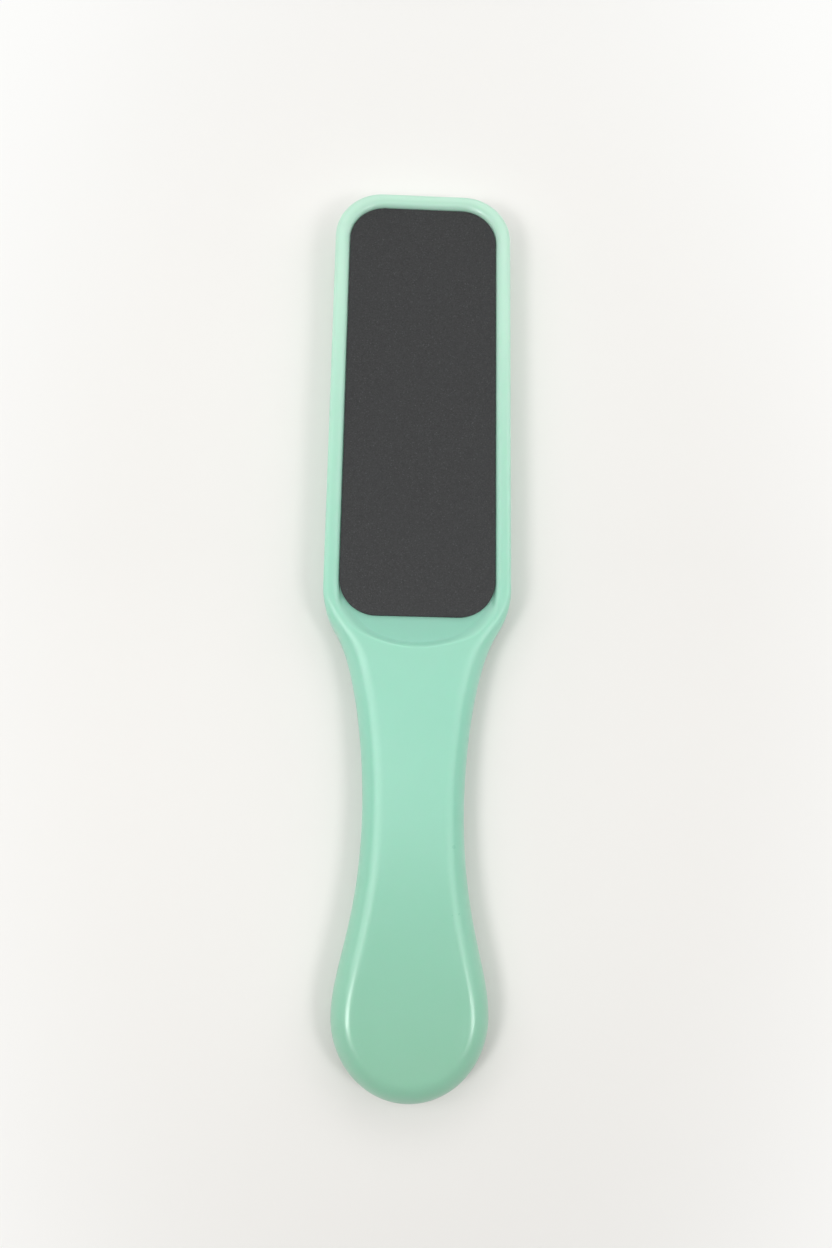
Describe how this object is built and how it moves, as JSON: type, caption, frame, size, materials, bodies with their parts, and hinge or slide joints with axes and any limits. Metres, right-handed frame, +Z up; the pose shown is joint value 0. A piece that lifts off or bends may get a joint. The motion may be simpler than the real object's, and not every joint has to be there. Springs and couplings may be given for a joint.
{
  "type": "foot file",
  "caption": "Flat moulded paddle with a waisted, round-ended handle and a rounded rectangular head that holds a recessed abrasive sheet in each face.",
  "frame": {"origin": "under the middle of the part's box, on the plane that the back rim and the back of the handle lie on", "axes": "+X across the paddle, +Y along it from the handle's round end to the top of the head, +Z up through its thickness, out of the front face"},
  "size_m": [0.0504, 0.2466, 0.012],
  "materials": {
    "handle_plastic": "smooth satin moulding, mint green",
    "adhesive_film": "pale translucent pressure-sensitive adhesive on film",
    "abrasive_sheet": "fine dark grey grit in resin on a waterproof backing, slight sheen"
  },
  "bodies": {
    "root": {"front_shell": "handle_plastic", "back_shell": "handle_plastic", "front_adhesive_film": "adhesive_film", "back_adhesive_film": "adhesive_film", "front_abrasive_sheet": "abrasive_sheet", "back_abrasive_sheet": "abrasive_sheet"}
  },
  "joints": []
}
